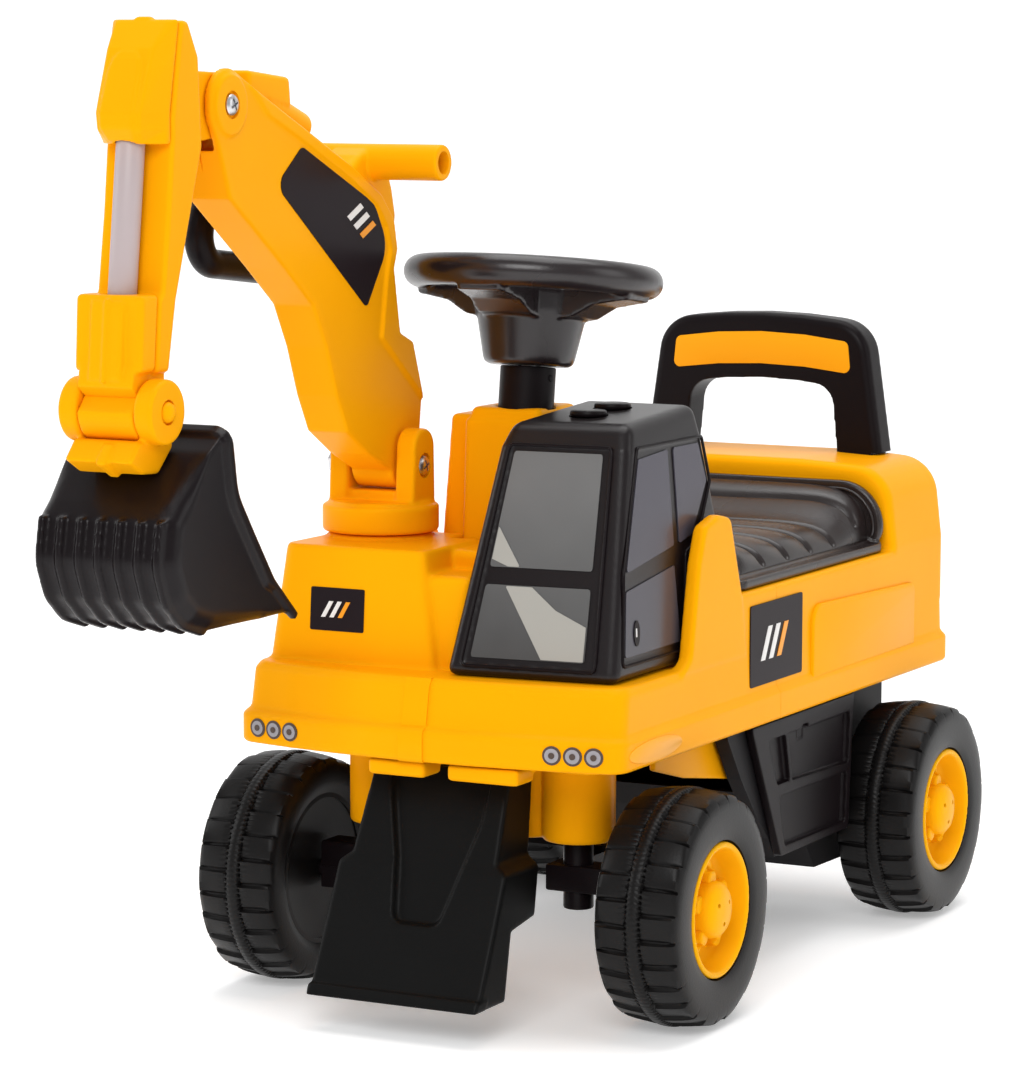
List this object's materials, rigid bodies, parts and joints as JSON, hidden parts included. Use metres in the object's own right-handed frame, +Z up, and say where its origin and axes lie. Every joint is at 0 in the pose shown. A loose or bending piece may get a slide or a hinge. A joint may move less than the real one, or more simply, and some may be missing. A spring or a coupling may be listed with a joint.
{
  "type": "ride-on toy digger",
  "caption": "Toddler ride-on toy digger: four-wheeled hollow body with a seat over a storage tray, steering wheel, dummy cab, push handle and a hand-worked swinging digging arm with a bucket",
  "frame": {"origin": "ground plane under the middle of the whole toy's box", "axes": "+X the toy's left, the side of the cab; -Y the direction of travel; +Z up"},
  "size_m": [0.299, 0.693, 0.547],
  "materials": {
    "yellow_plastic": "smooth moulded, light sheen",
    "black_plastic": "fine-grained moulded",
    "tyre_plastic": "blow-moulded hard plastic with a tread",
    "seat_plastic": "ribbed moulded, soft sheen",
    "window_plastic": "grey printed panes",
    "orange_inlay": "smooth film",
    "rod_plastic": "grey, satin",
    "steel": "zinc plated"
  },
  "bodies": {
    "chassis": {"body_front": "yellow_plastic", "body_rear": "yellow_plastic", "front_axle_carrier": "yellow_plastic", "front_blade": "black_plastic", "chassis_tub": "black_plastic", "side_panel_left": "black_plastic", "side_panel_right": "black_plastic", "rear_axle_carrier": "black_plastic", "rear_axle": "steel", "storage_bin": "black_plastic", "battery_box": "black_plastic", "battery_cover": "black_plastic", "console_cowl": "yellow_plastic", "cab_shell": "black_plastic", "cab_front_window": "window_plastic", "cab_side_window": "window_plastic", "sound_module": "black_plastic", "rear_handle": "black_plastic", "handle_inlay": "orange_inlay"},
    "steering": {"steering_wheel": "black_plastic", "steering_column": "black_plastic", "steering_shaft": "steel", "steering_crank": "black_plastic"},
    "knuckle_left": {"knuckle_left": "black_plastic"},
    "knuckle_right": {"knuckle_right": "black_plastic"},
    "tie_rod": {"tie_rod": "black_plastic"},
    "wheel_front_left": {"tyre_front_left": "tyre_plastic", "rim_front_left": "yellow_plastic", "hub_cap_front_left": "yellow_plastic"},
    "wheel_front_right": {"tyre_front_right": "tyre_plastic", "rim_front_right": "yellow_plastic", "hub_cap_front_right": "yellow_plastic"},
    "wheel_rear_left": {"tyre_rear_left": "tyre_plastic", "rim_rear_left": "yellow_plastic", "hub_cap_rear_left": "yellow_plastic"},
    "wheel_rear_right": {"tyre_rear_right": "tyre_plastic", "rim_rear_right": "yellow_plastic", "hub_cap_rear_right": "yellow_plastic"},
    "turret": {"turret": "yellow_plastic", "swing_retainer": "black_plastic", "boom_foot_bolt": "steel", "boom_foot_nut": "steel"},
    "boom": {"boom_left_half": "yellow_plastic", "boom_right_half": "yellow_plastic", "t_bar": "yellow_plastic", "elbow_bolt": "steel", "elbow_nut": "steel"},
    "stick": {"stick_body": "yellow_plastic", "piston_rod": "rod_plastic", "rod_cover": "yellow_plastic", "rod_housing": "yellow_plastic", "grip_lever": "black_plastic"},
    "bucket": {"bucket": "black_plastic", "bucket_bracket": "yellow_plastic", "bucket_pin": "steel"},
    "seat": {"seat_base": "seat_plastic", "seat_pad": "seat_plastic"},
    "horn_button": {"horn_button": "black_plastic"},
    "sound_button": {"sound_button": "black_plastic"}
  },
  "joints": [
    {"name": "steering_turn", "type": "hinge", "parent": "chassis", "child": "steering", "pos_m": [0, -0.0055, 0.407], "axis": [0, 0.1219, 0.9925], "range_deg": [-35, 35]},
    {"name": "knuckle_left_turn", "type": "hinge", "parent": "chassis", "child": "knuckle_left", "pos_m": [0.061, -0.0685, 0.066], "axis": [0, 0, 1], "range_deg": [-23, 23]},
    {"name": "knuckle_right_turn", "type": "hinge", "parent": "chassis", "child": "knuckle_right", "pos_m": [-0.061, -0.0685, 0.066], "axis": [0, 0, 1], "range_deg": [-23, 23]},
    {"name": "tie_rod_slide", "type": "slide", "parent": "chassis", "child": "tie_rod", "axis": [1, 0, 0], "range_m": [-0.011, 0.011]},
    {"name": "wheel_front_left_spin", "type": "hinge", "parent": "knuckle_left", "child": "wheel_front_left", "pos_m": [0.1245, -0.0685, 0.066], "axis": [1, 0, 0], "continuous": true},
    {"name": "wheel_front_right_spin", "type": "hinge", "parent": "knuckle_right", "child": "wheel_front_right", "pos_m": [-0.1245, -0.0685, 0.066], "axis": [1, 0, 0], "continuous": true},
    {"name": "wheel_rear_left_spin", "type": "hinge", "parent": "chassis", "child": "wheel_rear_left", "pos_m": [0.1245, 0.2675, 0.066], "axis": [1, 0, 0], "continuous": true},
    {"name": "wheel_rear_right_spin", "type": "hinge", "parent": "chassis", "child": "wheel_rear_right", "pos_m": [-0.1245, 0.2675, 0.066], "axis": [1, 0, 0], "continuous": true},
    {"name": "arm_swing", "type": "hinge", "parent": "chassis", "child": "turret", "pos_m": [-0.072, -0.0545, 0.277], "axis": [0, 0, 1], "range_deg": [-45, 20]},
    {"name": "boom_lift", "type": "hinge", "parent": "turret", "child": "boom", "pos_m": [-0.072, -0.0525, 0.299], "axis": [1, 0, 0], "range_deg": [-2, 25]},
    {"name": "stick_swing", "type": "hinge", "parent": "boom", "child": "stick", "pos_m": [-0.072, -0.2385, 0.503], "axis": [1, 0, 0], "range_deg": [-30, 12]},
    {"name": "bucket_curl", "type": "hinge", "parent": "stick", "child": "bucket", "pos_m": [-0.072, -0.3235, 0.35], "axis": [1, 0, 0], "range_deg": [-30, 20]},
    {"name": "seat_lift", "type": "hinge", "parent": "chassis", "child": "seat", "pos_m": [0, 0.0375, 0.226], "axis": [1, 0, 0], "range_deg": [0, 50]},
    {"name": "horn_press", "type": "slide", "parent": "chassis", "child": "horn_button", "axis": [0, 0, -1], "range_m": [0, 0.002], "stiffness_N_per_m": 200},
    {"name": "sound_press", "type": "slide", "parent": "chassis", "child": "sound_button", "axis": [0, 0, -1], "range_m": [0, 0.002], "stiffness_N_per_m": 200}
  ],
  "couplings": [
    {"joint": "knuckle_left_turn", "follows": "steering_turn", "ratio": 0.65},
    {"joint": "knuckle_right_turn", "follows": "steering_turn", "ratio": 0.65},
    {"joint": "tie_rod_slide", "follows": "steering_turn", "m_per_rad": -0.0176}
  ]
}
